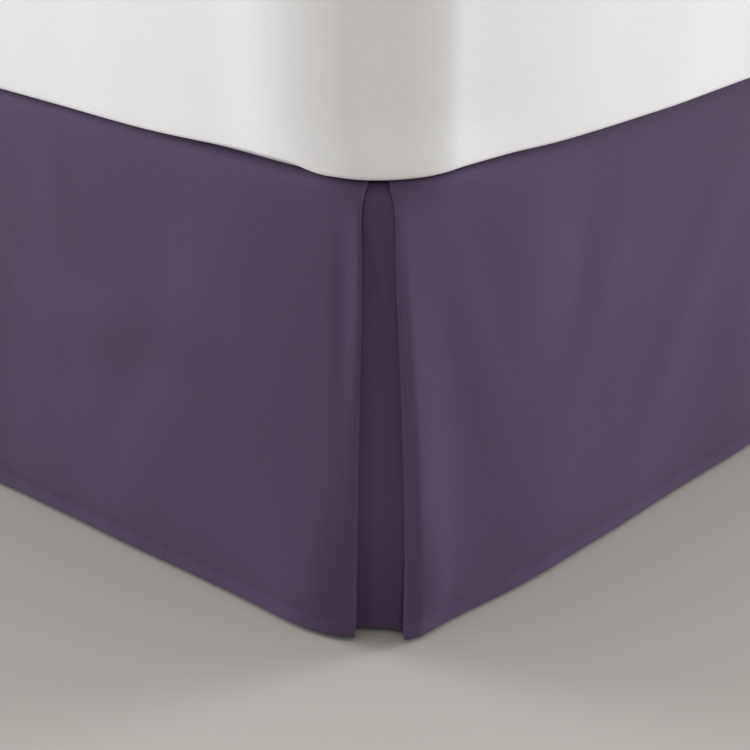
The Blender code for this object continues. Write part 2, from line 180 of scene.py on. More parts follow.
# ---- the mattress and the foundation ----

COVER_INSET = (0.0026, 0.0055)  # the cover's side and foot, inside the mattress's bulge
# Its corners are drawn in: how far, over what length, and with what power of the length still to go.
DRAW_ALONG_SIDE = (0.0270, 0.320, 1.3)
DRAW_ALONG_FOOT = (0.0350, 0.159, 3.98)
PINCH_ALONG_SIDE = (0.0060, 0.150, 2)
DRAW_LESS = 0.25  # of that is gone at the top
# Beside a corner the lower edge is lifted. The places say where that starts, is full, fades and ends.
FOOT_LIFT, FOOT_LIFT_PLACE = 0.0046, (0.055, 0.095, 0.13, 0.27)
SIDE_LIFT, SIDE_LIFT_PLACE = 0.0015, (0.02, 0.045, 0.10, 0.17)
CORNER_DIP, DIP_TURN, DIP_WIDTH = 0.0022, 56.0, 9.0  # a dent down each corner, in degrees round it
BASE_TOP_EDGE, BASE_BOTTOM_EDGE = 0.014, 0.005
BASE_FOOT_CORNER, BASE_HEAD_CORNER = 0.098, 0.040
LEG_FOOT_RADIUS = 0.021
# How much of the way from the foot's radius to the collar's a leg has widened, at a share of its height.
LEG_TAPER = ((0.40, 0.45), (0.76, 0.79), (0.78, 0.805), (0.62, 0.815), (0.62, 0.825), (0.80, 0.835))

# ---- the lights ----

SOFTBOX_SIZE, SOFTBOX_SPREAD, SOFTBOX_DISTANCE = 2.4, 44.0, 5.0
LIT_HEIGHT = 0.2  # of the place on the skirt's corner that the softboxes stand round


# ---- small helpers ----


def smooth(value, start, end):
    """0 before start, 1 past end, and a soft step between them."""
    share = min(max((value - start) / (end - start), 0.0), 1.0)
    return share * share * (3.0 - 2.0 * share)


def bell(distance, width):
    return math.exp(-((distance / width) ** 2))


def band(value, start, full, fade, end):
    """1 from full to fade, with soft steps up to it and down from it."""
    return smooth(value, start, full) * (1.0 - smooth(value, fade, end))


def fading(distance, most, length, power):
    """The most at distance 0, and nothing from a length on."""
    return most * max(1.0 - distance / length, 0.0) ** power


def evenly(start, end, pitch):
    """Places from just after start up to end, about a pitch apart."""
    steps = max(1, math.ceil((end - start) / pitch))
    return [start + (end - start) * i / steps for i in range(1, steps + 1)]


def new_mesh(name, built, material):
    """Makes a mesh of a bmesh, in one material."""
    mesh = bpy.data.meshes.new(name)
    built.to_mesh(mesh)
    built.free()
    mesh.materials.append(material)
    return mesh


def place_object(name, data):
    placed = bpy.data.objects.new(name, data)
    bpy.context.scene.collection.objects.link(placed)
    return placed


def add_piece(name, built, material):
    """Makes an object of a bmesh, which rides on the bed and takes its finish from a slot."""
    mesh = new_mesh(name, built, material)
    mesh.shade_smooth()
    piece = place_object(name, mesh)
    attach(piece, "root")
    return piece


# ---- node groups and materials ----


def give(tree, socket, value):
    """Links a socket to another one, or sets it to a plain value."""
    if isinstance(value, bpy.types.NodeSocket):
        tree.links.new(value, socket)
    else:
        socket.default_value = value


def feed(tree, node, **values):
    """Gives a node its inputs, with _ for a space in their names. Returns the node."""
    for label, value in values.items():
        give(tree, node.inputs[label.replace("_", " ")], value)
    return node


def new_group(name, inputs, outputs):
    """A shader node group with float or vector inputs, given as (name, default), and float outputs."""
    group = bpy.data.node_groups.new(name, "ShaderNodeTree")
    for label, default in inputs:
        kind = "NodeSocketVector" if default is None else "NodeSocketFloat"
        socket = group.interface.new_socket(label, in_out="INPUT", socket_type=kind)
        if default is not None:
            socket.default_value = default
    for label in outputs:
        group.interface.new_socket(label, in_out="OUTPUT", socket_type="NodeSocketFloat")
    return group, group.nodes.new("NodeGroupInput"), group.nodes.new("NodeGroupOutput")


def math_node(tree, operation, *values):
    """A Math node fed by sockets or plain numbers. Returns its output."""
    node = tree.nodes.new("ShaderNodeMath")
    node.operation = operation
    for socket, value in zip(node.inputs, values):
        give(tree, socket, value)
    return node.outputs[0]


def weave_group(name):
    """Plain weave on flat cloth: threads cross over and under each other along the two coordinates."""
    inputs = [("Flat cloth", None), ("Threads per metre", 2500.0)]
    group, given, result = new_group(name, inputs, ["Height", "Thread"])
    work_out = partial(math_node, group)
    split = feed(group, group.nodes.new("ShaderNodeSeparateXYZ"), Vector=given.outputs["Flat cloth"])
    waves = []
    for axis in ("X", "Y"):
        turns = work_out("MULTIPLY", split.outputs[axis], given.outputs["Threads per metre"])
        angle = work_out("MULTIPLY", turns, math.pi)
        waves.append((work_out("SINE", angle), work_out("COSINE", angle)))
    over = work_out("ABSOLUTE", work_out("MULTIPLY", waves[0][0], waves[1][0]))
    along = work_out("MULTIPLY", waves[0][1], waves[1][1])
    feed(group, result, Height=work_out("ADD", over, work_out("MULTIPLY", along, 0.5)), Thread=over)
    return group


def mottle_group(name):
    """Soft uneven patches, from 0 to 1, at a scale and stretched by the coordinates that come in."""
    inputs = [("Place", None), ("Scale", 8.0), ("Fineness", 3.0)]
    group, given, result = new_group(name, inputs, ["Patch"])
    place, scale, fineness = (given.outputs[label] for label, _ in inputs)
    cloud = feed(group, group.nodes.new("ShaderNodeTexNoise"), Vector=place, Scale=scale, Detail=fineness)
    spread = group.nodes.new("ShaderNodeMapRange")
    feed(group, spread, Value=cloud.outputs["Fac"], From_Min=0.30, From_Max=0.70)
    feed(group, result, Patch=spread.outputs[0])
    return group


def stitch_group(name):
    """A row of lockstitches at a height above the hem: 1 on a stitch, 0 beside it and in the holes.

    Pull, how much the cloth is drawn in, falls from 1 on the row to 0 a few threads beside it."""
    inputs = [("Flat cloth", None), ("Height", 0.012), ("Pitch", 0.003), ("Thread", 0.0004)]
    group, given, result = new_group(name, inputs, ["Stitch", "Pull"])
    work_out = partial(math_node, group)
    flat, height, pitch, thread = (given.outputs[label] for label, _ in inputs)
    split = feed(group, group.nodes.new("ShaderNodeSeparateXYZ"), Vector=flat)
    away = work_out("ABSOLUTE", work_out("SUBTRACT", split.outputs["Y"], height))
    on_row = work_out("LESS_THAN", away, thread)
    part = work_out("FRACT", work_out("DIVIDE", split.outputs["X"], pitch))
    stitch = work_out("MULTIPLY", on_row, work_out("LESS_THAN", part, 0.72))
    near = work_out("DIVIDE", away, work_out("MULTIPLY", thread, 4.0))
    feed(group, result, Stitch=stitch, Pull=work_out("SUBTRACT", 1.0, work_out("MINIMUM", near, 1.0)))
    return group


SHARED_GROUPS = {"plain_weave": weave_group, "soft_mottle": mottle_group, "stitch_row": stitch_group}


def use_group(tree, name, **values):
    """Places a shared group, which is built when it is first asked for, and feeds it."""
    node = tree.nodes.new("ShaderNodeGroup")
    node.node_tree = bpy.data.node_groups.get(name) or SHARED_GROUPS[name](name)
    return feed(tree, node, **values)


def patches(tree, place, scale, fineness):
    return use_group(tree, "soft_mottle", Place=place, Scale=scale, Fineness=fineness).outputs["Patch"]


def mix_colours(tree, share, first, second):
    """Mixes two colours, each a tuple or a socket, by a socket that goes from 0 to 1."""
    mix = tree.nodes.new("ShaderNodeMix")
    mix.data_type = "RGBA"
    feed(tree, mix, Factor=share)
    for label, colour in (("A", first), ("B", second)):
        socket = next(s for s in mix.inputs if s.name == label and s.type == "RGBA")
        give(tree, socket, (*colour, 1.0) if isinstance(colour, tuple) else colour)
    return next(s for s in mix.outputs if s.type == "RGBA")


def ranged(tree, value, low, high):
    """A 0 to 1 socket spread between two values."""
    spread = tree.nodes.new("ShaderNodeMapRange")
    return feed(tree, spread, Value=value, To_Min=low, To_Max=high).outputs[0]


def bump(tree, height, distance, strength, **under):
    """Bumps as high as a distance, laid over another node's Normal if that is given."""
    node = tree.nodes.new("ShaderNodeBump")
    return feed(tree, node, Height=height, Distance=distance, Strength=strength, **under).outputs["Normal"]


def new_material(name):
    material = bpy.data.materials.new(name)
    material.use_nodes = True
    tree = material.node_tree
    return material, tree, tree.nodes["Principled BSDF"], tree.nodes.new("ShaderNodeTexCoord").outputs


def tinted(colour, factor):
    return tuple(channel * factor for channel in colour)


def uneven(tree, share, colour, spread):
    """A colour that gets darker and lighter by the same spread, by a socket that goes from 0 to 1."""
    return mix_colours(tree, share, tinted(colour, 1.0 - spread), tinted(colour, 1.0 + spread))


def microfibre_material(settings):
    """Matte brushed microfibre in a very fine weave, with its hem's stitches and a painted highlight along
    its folds' edges.
    """
    name = "brushed_microfibre"
    if name in bpy.data.materials:
        return bpy.data.materials[name]
    material, tree, shader, place = new_material(name)
    colour = tuple(settings.colour)
    broad = patches(tree, place["Object"], scale=5.0, fineness=4.0)
    nap = patches(tree, place["Object"], scale=420.0, fineness=2.0)
    weave = use_group(tree, "plain_weave", Flat_cloth=place["UV"], Threads_per_metre=1700.0).outputs
    depth, pitch = settings.hem_depth, settings.stitch_pitch
    row = use_group(tree, "stitch_row", Flat_cloth=place["UV"], Height=depth, Pitch=pitch).outputs
    cloth = uneven(tree, broad, colour, 0.05)
    cloth = mix_colours(tree, ranged(tree, nap, 0.0, 0.35), cloth, tinted(colour, 1.18))
    cloth = mix_colours(tree, ranged(tree, weave["Thread"], 0.25, 0.0), cloth, tinted(colour, 0.72))
    cloth = mix_colours(tree, ranged(tree, row["Stitch"], 0.0, 0.5), cloth, tinted(colour, 1.15))
    # Painted highlight: the fold's very edge is made lighter, for the light that it catches.
    painted_highlight = tree.nodes.new("ShaderNodeAttribute")
    painted_highlight.attribute_name = "painted_highlight"
    cloth = mix_colours(tree, painted_highlight.outputs["Fac"], cloth, tinted(colour, 1.0 + settings.edge_highlight))
    woven = bump(tree, weave["Height"], 0.00006, 0.5)
    napped = bump(tree, nap, 0.00012, 0.5, Normal=woven)
    sewn = bump(tree, math_node(tree, "SUBTRACT", row["Stitch"], row["Pull"]), 0.00025, 0.6, Normal=napped)
    feed(tree, shader, Base_Color=cloth, Roughness=ranged(tree, nap, 0.82, 0.96), Normal=sewn)
    feed(tree, shader, Specular_IOR_Level=0.25, Sheen_Weight=0.05, Sheen_Roughness=0.45)
    feed(tree, shader, Sheen_Tint=(0.75, 0.60, 0.85, 1.0))
    return material


# A woven cover: its broad patches, its slubs and how much of their tint shows, its range of roughness,
# its threads in a metre, and height and strength of the bumps that threads and slubs make.
Woven = namedtuple(
    "Woven",
    "patch_scale patch_fineness spread slub_scale slub_share slub_tint"
    " roughness threads thread_bump slub_bump",
)
COTTON = Woven(3.0, 3.0, 0.015, 260.0, 0.5, 0.96, (0.74, 0.88), 1500.0, (0.00008, 0.3), (0.00012, 0.25))
TICKING = Woven(6.0, 4.0, 0.04, 300.0, 0.6, 0.82, (0.78, 0.92), 900.0, (0.00015, 0.5), (0.0003, 0.5))


def woven_material(name, colour, look, **shine):
    """The woven cloth of a cover, with slubs in it."""
    material, tree, shader, place = new_material(name)
    broad = patches(tree, place["Object"], look.patch_scale, look.patch_fineness)
    slub = patches(tree, place["Object"], look.slub_scale, fineness=3.0)
    cloth = uneven(tree, broad, colour, look.spread)
    cloth = mix_colours(tree, ranged(tree, slub, 0.0, look.slub_share), cloth, tinted(colour, look.slub_tint))
    weave = use_group(tree, "plain_weave", Flat_cloth=place["UV"], Threads_per_metre=look.threads)
    woven = bump(tree, weave.outputs["Height"], *look.thread_bump)
    slubbed = bump(tree, slub, *look.slub_bump, Normal=woven)
    roughness = ranged(tree, slub, *look.roughness)
    feed(tree, shader, Base_Color=cloth, Roughness=roughness, Normal=slubbed, **shine)
    return material


def wood_material(settings):
    """Dark stained wood with a satin varnish, its grain along the leg."""
    name = "stained_wood"
    if name in bpy.data.materials:
        return bpy.data.materials[name]
    material, tree, shader, place = new_material(name)
    colour = tuple(settings.wood_colour)
    stretch = tree.nodes.new("ShaderNodeMapping")
    stretched = feed(tree, stretch, Vector=place["Object"], Scale=(1.0, 1.0, 0.08)).outputs[0]
    grain = patches(tree, stretched, scale=160.0, fineness=5.0)
    broad = patches(tree, stretched, scale=25.0, fineness=3.0)
    wood = mix_colours(tree, grain, tinted(colour, 0.55), tinted(colour, 1.35))
    wood = mix_colours(tree, ranged(tree, broad, 0.0, 0.5), wood, tinted(colour, 0.8))
    feed(tree, shader, Base_Color=wood, Roughness=ranged(tree, grain, 0.42, 0.30))
    feed(tree, shader, Normal=bump(tree, grain, 0.0002, 0.3), Coat_Weight=0.3, Coat_Roughness=0.25)
    return material


def floor_material(settings):
    """Plain pale floor, slightly uneven in tone."""
    material, tree, shader, place = new_material("pale_floor")
    broad = patches(tree, place["Object"], scale=2.0, fineness=3.0)
    tone = uneven(tree, broad, tuple(settings.floor_colour), 0.015)
    feed(tree, shader, Base_Color=tone, Roughness=ranged(tree, broad, 0.80, 0.86))
    return material


# ---- the drops' shape ----


def hem_outline(outline, from_tip, share):
    """The hem's outline, whose curl at the fold gets shorter and weaker up the drop."""
    along = outline.tip_along + from_tip
    swell = outline.swell * (1.0 - share) ** 3 * bell(along - SWELL_AT, SWELL_WIDTH)
    curl_length = outline.curl_length * (1.0 - CURL_SHORTER * share)
    curl = outline.curl * (1.0 - share) ** CURL_POWER * math.exp(-from_tip / curl_length)
    lean = outline.lean * (0.5 + 0.5 * math.cos(math.pi * min(from_tip / outline.lean_length, 1.0)))
    lean *= 1.0 - LEAN_LESS * share
    off_crease = 1.0 - from_tip / (outline.facet_width * (1.0 - FACET_NARROWER * share))
    facet = outline.facet * (1.0 - share**3) * (off_crease + math.hypot(off_crease, FACET_BLEND)) / 2.0
    return along, swell - curl - lean - facet


def top_outline(outline, from_tip):
    corner_end = CORNER_RADIUS + TUCK
    along = corner_end - CORNER_RADIUS * math.sin(math.radians(outline.tip_turn)) + from_tip
    into_corner = max(corner_end - along, 0.0)
    return along, -TUCK - CORNER_RADIUS + math.sqrt(CORNER_RADIUS**2 - into_corner**2)


def tip_drift(outline, from_tip, share, top_share):
    """How far the cloth drifts along its plane up the drop, so that its fold ends up at the deck's corner."""
    to_top = top_outline(outline, 0.0)[0] - outline.tip_along
    drift = outline.drift * share**outline.power + (to_top - outline.drift) * top_share**outline.drift_back
    return drift * (1.0 - smooth(from_tip, *DRIFT_FADE))


def fold_roll(share):
    return ROLL_HEM + (ROLL_TOP - ROLL_HEM) * share


def fold_rise(folds, along, share):
    rise = 0.0
    for fold in folds:
        off = along - fold.hem - (fold.seam - fold.hem) * share
        if abs(off) < 3.0 * fold.width:
            rise += fold.rise * bell(off, fold.width) * bell(share - fold.at, fold.reach)
    return rise * (1.0 - share**FOLD_FADE)


def far_folds(start, end):
    """Like folds along the rest of a drop, unevenly spaced and leaning to and fro."""
    folds = []
    for i in range(int((end - start) / FAR_FOLD_PITCH)):
        seam = start + FAR_FOLD_PITCH * (i + 0.5 + FAR_FOLD_SHIFT * math.sin(PLACE_TURN * i))
        lean = FAR_FOLD_LEAN * math.sin(LEAN_TURN * i + 1.0)
        rise = FAR_FOLD_RISE * (0.7 + 0.3 * math.cos(RISE_TURN * i))
        at = FAR_FOLD_AT + 0.15 * math.sin(HEIGHT_TURN * i)
        folds.append(Fold(seam, seam + lean, FAR_FOLD_WIDTH, rise, at, FAR_FOLD_REACH))
    return tuple(folds)


# Where across a sheet. The part of a drop is face or back, with a distance from the fold, or roll, with
# degrees. That of an insert is foot or beside, with such a distance, or gap, with a share of its width.
Column = namedtuple("Column", "part value")


class Drop:
    """One end of a drop, in its own plane: along from the bed's sharp corner, and outwards."""

    def __init__(self, outline, folds, side, place, settings, folds_from=None):
        self.outline = outline
        self.folds = folds
        self.side = side  # +1 beside the right foot corner, -1 beside the left
        self.place = place
        self.settings = settings
        self.folds_from = folds_from

    def hem_relief(self, climb, along, from_tip):
        """The turned hem flares, and the cloth above it rolls out over the stitches, unevenly."""
        depth = self.settings.hem_depth
        slow = noise.noise(Vector((along * HEM_WAVES, self.side * 3.0, 2.5)))
        pucker = noise.noise(Vector((along * PUCKERS, self.side * 3.0, 0.5)))
        flare = self.settings.hem_flare * (1.0 - smooth(climb, 0.0, depth))
        off = climb - depth
        rolled = 1.0 - max(1.0 - max(off, 0.0) / HEM_ROLL_HEIGHT, 0.0) ** 2
        rolled *= 1.0 - smooth(off, HEM_ROLL_HEIGHT, HEM_ROLL_END)
        rolled *= self.settings.hem_roll * (1.0 + HEM_ROLL_UNEVEN * slow)
        rolled *= smooth(from_tip, 0.0, HEM_ROLL_START)
        return flare + rolled + PUCKER_RISE * pucker * bell(off, PUCKER_WIDTH)

    def unevenness(self, along, share):
        """Slow waves of the cloth between its folds."""
        apart = 7.0 * self.side + (0.0 if self.place is on_foot else 4.0)
        waves = noise.noise(Vector((along * WAVES_ALONG, share * WAVES_UP, apart)))
        return self.settings.unevenness * waves * (1.0 - share**FOLD_FADE)

    def on_plane(self, from_fold, climb):
        share = min(climb / DROP_HEIGHT, 1.0)
        top_share = min(climb / (DROP_HEIGHT + self.outline.rounded_past), 1.0)
        from_tip = from_fold + fold_roll(share)
        along, hem_out = hem_outline(self.outline, from_tip, share)
        along += tip_drift(self.outline, from_tip, share, top_share)
        top_out = top_outline(self.outline, from_tip)[1]
        outwards = hem_out + (top_out - hem_out) * top_share**self.outline.rounding
        counted = along if self.folds_from is None else self.folds_from - along
        rise = fold_rise(self.folds, counted, share) + self.unevenness(counted, share)
        return along, outwards + rise + self.hem_relief(climb, counted, from_tip)

    def normal(self, from_fold, climb):
        step = 0.0005
        along_a, out_a = self.on_plane(from_fold, climb)
        along_b, out_b = self.on_plane(from_fold + step, climb)
        length = math.hypot(along_b - along_a, out_b - out_a)
        return -(out_b - out_a) / length, (along_b - along_a) / length

    def layer(self, from_fold, climb, deep=0.0, past=0.0):
        """The point this deep behind the cloth's face, and this far past its end."""
        along, outwards = self.on_plane(from_fold, climb)
        normal_along, normal_out = self.normal(from_fold, climb)
        inwards, z, turned = over_shoulder(climb)
        inwards += deep * math.cos(turned)
        along += -normal_along * inwards - normal_out * past
        outwards += -normal_out * inwards + normal_along * past
        return Vector((*self.place(self.side, along, outwards), z - deep * math.sin(turned)))

    def point(self, column, climb):
        """Where the cloth is at a column, this far up from the hem's edge."""
        if column.part == "face":
            return self.layer(column.value, climb)
        radius = fold_radius(climb)
        if column.part == "back":
            return self.layer(column.value, climb, self.return_depth(column.value, climb))
        angle = math.radians(column.value)
        return self.layer(0.0, climb, radius * (1.0 - math.cos(angle)), radius * math.sin(angle))

    def return_depth(self, from_fold, climb):
        """How far behind the face the returned cloth lies: two radii at the fold, more at its end."""
        at_hem = RETURN_HEM["foot" if self.place is on_foot else "side"]
        at_end = (at_hem + (RETURN_TOP - at_hem) * min(climb / DROP_HEIGHT, 1.0)) * squeezed(climb)
        at_fold = 2.0 * fold_radius(climb)
        return at_fold + smooth(from_fold, 0.0, RETURN_LENGTH) * (at_end - at_fold)


def over_shoulder(climb):
    """How far inwards and how high the cloth is, this far up from the hem's edge, and how far turned over."""
    beyond = climb - DROP_HEIGHT
    if beyond <= 0.0:
        return 0.0, HEM_Z + climb, 0.0
    angle = min(beyond / SHOULDER_RADIUS, math.pi / 2)
    run = max(beyond - SHOULDER_ARC, 0.0)
    inwards = SHOULDER_RADIUS * (1.0 - math.cos(angle)) + run
    return inwards, SHOULDER_Z + SHOULDER_RADIUS * math.sin(angle), angle


def squeezed(climb):
    """How far apart the layers lie, as a share: less where they run over the shoulder into the seam."""
    return 1.0 - SEAM_SQUEEZE * smooth(climb, DROP_HEIGHT, DROP_HEIGHT + SHOULDER_ARC + SEAM_RUN)


def fold_radius(climb):
    return fold_roll(min(climb / DROP_HEIGHT, 1.0)) * squeezed(climb)


def on_foot(side, along, outwards):
    return side * (HALF_WIDTH - along), FOOT_Y - outwards


def on_side(side, along, outwards):
    return side * (HALF_WIDTH + outwards), FOOT_Y + along


def foot_end(side, settings):
    width = 2 * HALF_WIDTH
    folds = FOOT_FOLDS + far_folds(FOOT_FOLDS[-1].seam + FAR_FOLD_PITCH / 2, width - FAR_FOLD_END)
    return Drop(FOOT_OUTLINE, folds, side, on_foot, settings, None if side > 0 else width)


def side_end(side, settings):
    near = RIGHT_FOLDS if side > 0 else LEFT_FOLDS
    folds = near + far_folds(near[-1].seam + FAR_FOLD_PITCH / 2, HEAD_Y - FOOT_Y)
    return Drop(SIDE_OUTLINE, folds, side, on_side, settings)


def flat_place(column):
    """How far along the flat cloth a column lies, from the fold."""
    if column.part == "face":
        return column.value
    roll = (ROLL_TOP + ROLL_HEM) / 2
    if column.part == "roll":
        return -roll * math.radians(column.value)
    return -roll * math.pi - column.value


def highlight_share(column):
    """How much painted highlight a column gets, from 0 to 1: most on the fold's very edge."""
    return smooth(column.value, 0.0, 60.0) if column.part == "roll" else 0.0


def end_columns(outline, end_along):
    """Columns from the fold out to a line across the drop, after those on the roll and behind it."""
    columns = [Column("back", RETURN_LENGTH * i / RETURN_STEPS) for i in range(RETURN_STEPS, 0, -1)]
    columns += [Column("roll", 180.0 * i / ROLL_STEPS) for i in range(ROLL_STEPS, 0, -1)]
    columns += [Column("face", value) for value in [0.0] + evenly(0.0, NEAR_FOLD_END, NEAR_FOLD_PITCH)]
    end = end_along - outline.tip_along
    columns += [Column("face", value) for value in evenly(NEAR_FOLD_END, end, FAR_PITCH)]
    return columns


def drop_rows():
    """Heights up the cloth from the hem's edge, close together in the hem and over the shoulder."""
    rows = list(HEM_ROWS) + evenly(HEM_ROWS[-1], DROP_HEIGHT - TOP_ROWS, ROW_PITCH)
    rows += evenly(DROP_HEIGHT - TOP_ROWS, DROP_HEIGHT, TOP_ROW_PITCH)
    rows += [DROP_HEIGHT + SHOULDER_ARC * i / SHOULDER_STEPS for i in range(1, SHOULDER_STEPS + 1)]
    return rows + [DROP_HEIGHT + SHOULDER_ARC + SEAM_RUN]


def cloth_sheet(name, columns, flat_places, rows, point, settings, painted_highlight=None):
    """A sheet of cloth: a flat grid whose points are moved to where the cloth hangs, then given thickness.

    Its UV map keeps the flat cloth in metres: along it, and up from the hem's edge. Its attribute says how
    much painted highlight each column gets, from 0 to 1."""
    built = bmesh.new()
    flat_map = built.loops.layers.uv.new("flat_cloth")
    # Each column's share of the painted highlight on a fold's edge.
    highlight_layer = built.verts.layers.float.new("painted_highlight")
    bmesh.ops.create_grid(built, x_segments=len(columns) - 1, y_segments=len(rows) - 1, size=0.5)
    cell = {}
    for vert in built.verts:
        i = round((vert.co.x + 0.5) * (len(columns) - 1))
        j = round((vert.co.y + 0.5) * (len(rows) - 1))
        cell[vert] = (flat_places[i], rows[j])
        vert[highlight_layer] = painted_highlight[i] if painted_highlight else 0.0
        vert.co = point(columns[i], rows[j])
    for face in built.faces:
        for loop in face.loops:
            loop[flat_map].uv = cell[loop.vert]
    piece = add_piece(name, built, microfibre_material(settings))
    solid = piece.modifiers.new("cloth", "SOLIDIFY")
    solid.thickness = settings.thickness
    solid.offset = 0.0
    solid.use_even_offset = True
    return piece


def cut_height(settings):
    """The height a drop is cut to: from the deck's seam down to the hem, and the hem's two turns."""
    return DROP_HEIGHT + SHOULDER_ARC + SEAM_RUN + 2.0 * settings.hem_depth


# ---- rounded boxes ----


def subdivided_box(places):
    """A cube cut into a grid whose planes lie at the given places along X, Y and Z.

    Its UV map lays the cloth of each side out flat, in metres."""
    built = bmesh.new()
    bmesh.ops.create_cube(built, size=1.0)
    for axis, row in enumerate(places):
        edges = [e for e in built.edges if abs(e.verts[0].co[axis] - e.verts[1].co[axis]) > 0.5]
        bmesh.ops.subdivide_edges(built, edges=edges, cuts=len(row) - 2, use_grid_fill=True)
    for vert in built.verts:
        for axis, row in enumerate(places):
            vert.co[axis] = row[round((vert.co[axis] + 0.5) * (len(row) - 1))]
    flat_map = built.loops.layers.uv.new("flat_cloth")
    for face in built.faces:
        across = max(range(3), key=lambda axis: abs(face.normal[axis]))
        first, second = (axis for axis in range(3) if axis != across)
        for loop in face.loops:
            loop[flat_map].uv = (loop.vert.co[first], loop.vert.co[second])
    return built


def edge_places(low, high, edge, edge_pitch, pitch):
    """Places from low to high, closer together within an edge's width of both ends."""
    places = [low] + evenly(low, low + edge, edge_pitch)
    places += evenly(low + edge, high - edge, pitch)
    return places + evenly(high - edge, high, edge_pitch)


def round_profile(off_edge, on_flat, radius):
    """Rounds an edge seen from its end. off_edge is how far a point lies from it, on the flat or the side.

    Returns how far in from the side and how far from the flat the point then lies."""
    turn = math.radians(45.0 * (1.0 + off_edge / radius if on_flat else 1.0 - off_edge / radius))
    return radius * (1.0 - math.cos(turn)), radius * (1.0 - math.sin(turn))


def shape_box(built, low, high, corner_radius, top_edge, bottom_edge):
    """Rounds a subdivided box's edges and upright corners. Returns each point's facts for its relief.

    Those are the way out of the box there (flat), and how far in from its sides the rounded point lies."""
    centre = (low + high) / 2
    half = (high - low) / 2
    facts = {}
    for vert in built.verts:
        x, y = vert.co.x - centre.x, vert.co.y - centre.y
        on_x = half.x - abs(x) < half.y - abs(y)
        inset = min(half.x - abs(x), half.y - abs(y))
        under_top, over_bottom = high.z - vert.co.z, vert.co.z - low.z
        new_inset, z = inset, vert.co.z
        if under_top < top_edge and inset < top_edge:
            new_inset, drop = round_profile(max(inset, under_top), under_top < 1e-6, top_edge)
            z = high.z - drop
        elif over_bottom < bottom_edge and inset < bottom_edge:
            new_inset, lift = round_profile(max(inset, over_bottom), over_bottom < 1e-6, bottom_edge)
            z = low.z + lift
        x *= (half.x - new_inset) / (half.x - inset)
        y *= (half.y - new_inset) / (half.y - inset)
        reach_x, reach_y = half.x - new_inset, half.y - new_inset
        radius = max(corner_radius(y) - new_inset, 0.0)
        off_corner = reach_y - abs(y) if on_x else reach_x - abs(x)
        out = Vector((math.copysign(1.0, x), 0.0)) if on_x else Vector((0.0, math.copysign(1.0, y)))
        if off_corner < radius:
            turn = math.radians(45.0 * (1.0 - off_corner / radius if on_x else 1.0 + off_corner / radius))
            out = Vector((math.copysign(math.cos(turn), x), math.copysign(math.sin(turn), y)))
            x = math.copysign(reach_x - radius, x) + radius * out.x
            y = math.copysign(reach_y - radius, y) + radius * out.y
        vert.co = Vector((centre.x + x, centre.y + y, z))
        facts[vert] = (out, new_inset)
    return facts


# ---- what a user may change ----


def number_property(name, description, default, **more):
    return bpy.props.FloatProperty(name=name, description=description, default=default, **more)


def length_property(name, description, default):
    return number_property(name, description, default, unit="LENGTH", subtype="DISTANCE")


def angle_property(name, description, default):
    return number_property(name, description, math.radians(default), unit="ROTATION", subtype="ANGLE")


def colour_property(name, description, default):
    return bpy.props.FloatVectorProperty(
        name=name, description=description, default=default, size=3, subtype="COLOR", min=0.0, max=1.0
    )


class SkirtSettings(bpy.types.PropertyGroup):
    """The cloth of the skirt, its hem and its folds."""

    thickness: length_property("Thickness", "Thickness of the cloth", 0.0010)
    hem_depth: length_property("Hem depth", "From the hem's edge up to its stitches", 0.0115)
    hem_flare: length_property("Hem flare", "How far the hem's edge stands out", 0.0012)
    hem_roll: length_property("Hem roll", "How far the cloth rolls out above the hem's stitches", 0.0038)
    stitch_pitch: length_property("Stitch pitch", "Length of one stitch of the hem", 0.003)
    unevenness: length_property("Unevenness", "Height of the cloth's slow waves", 0.0011)
    # A painted highlight on the folds' edges, for the light that they catch.
    edge_highlight: number_property("Edge highlight", "How much lighter the painted highlight makes a fold's edge", 0.25)
    colour: colour_property("Colour", "Colour of the cloth", (0.0745, 0.0475, 0.1015))


class BedSettings(bpy.types.PropertyGroup):
    """The mattress in its cover, the foundation and the legs."""

    side_bulge: length_property("Side bulge", "How far the mattress's sides crown", 0.004)
    crown: length_property("Crown", "How far the mattress's top rises in the middle", 0.004)
    corner_radius: length_property("Corner radius", "Of the mattress's upright corners", 0.041)
    top_edge: length_property("Top edge", "Radius of the mattress's top edge", 0.036)
    bottom_edge: length_property("Bottom edge", "Radius of the mattress's bottom edge", 0.004)
    wrinkle: length_property("Wrinkle", "Height of the cover's soft wrinkles", 0.0012)
    piping: length_property("Piping", "How far the foundation's piping stands out", 0.0022)
    cover_colour: colour_property("Cover", "Colour of the mattress's cover", (0.80, 0.795, 0.815))
    ticking_colour: colour_property("Ticking", "Colour of the foundation's ticking", (0.62, 0.60, 0.56))
    wood_colour: colour_property("Wood", "Colour of the legs", (0.20, 0.13, 0.08))


class StudioSettings(bpy.types.PropertyGroup):
    """The floor, the light and the camera."""

    floor_colour: colour_property("Floor", "Colour of the floor", (0.46, 0.446, 0.42))
    sky: number_property("Sky", "Strength of the even light", 0.79)
    left_power: number_property("Left", "Power of the left light", 32.8)
    right_power: number_property("Right", "Power of the right light", 26.2)
    focal_length: number_property("Focal length", "In millimetres", 91.2)
    camera_height: length_property("Camera height", "Above the floor", 0.749)
    camera_distance: length_property("Camera distance", "On the floor, from the foot corner", 1.169)
    camera_shift: length_property("Camera sideways", "From the line through the foot corner", -0.0107)
    camera_azimuth: angle_property("Azimuth", "How far round from the bed's foot the camera is", 41.35)
    camera_pitch: angle_property("Pitch", "How far the camera looks down", 23.8)


# ---- operators ----

UNDOABLE = {"REGISTER", "UNDO"}


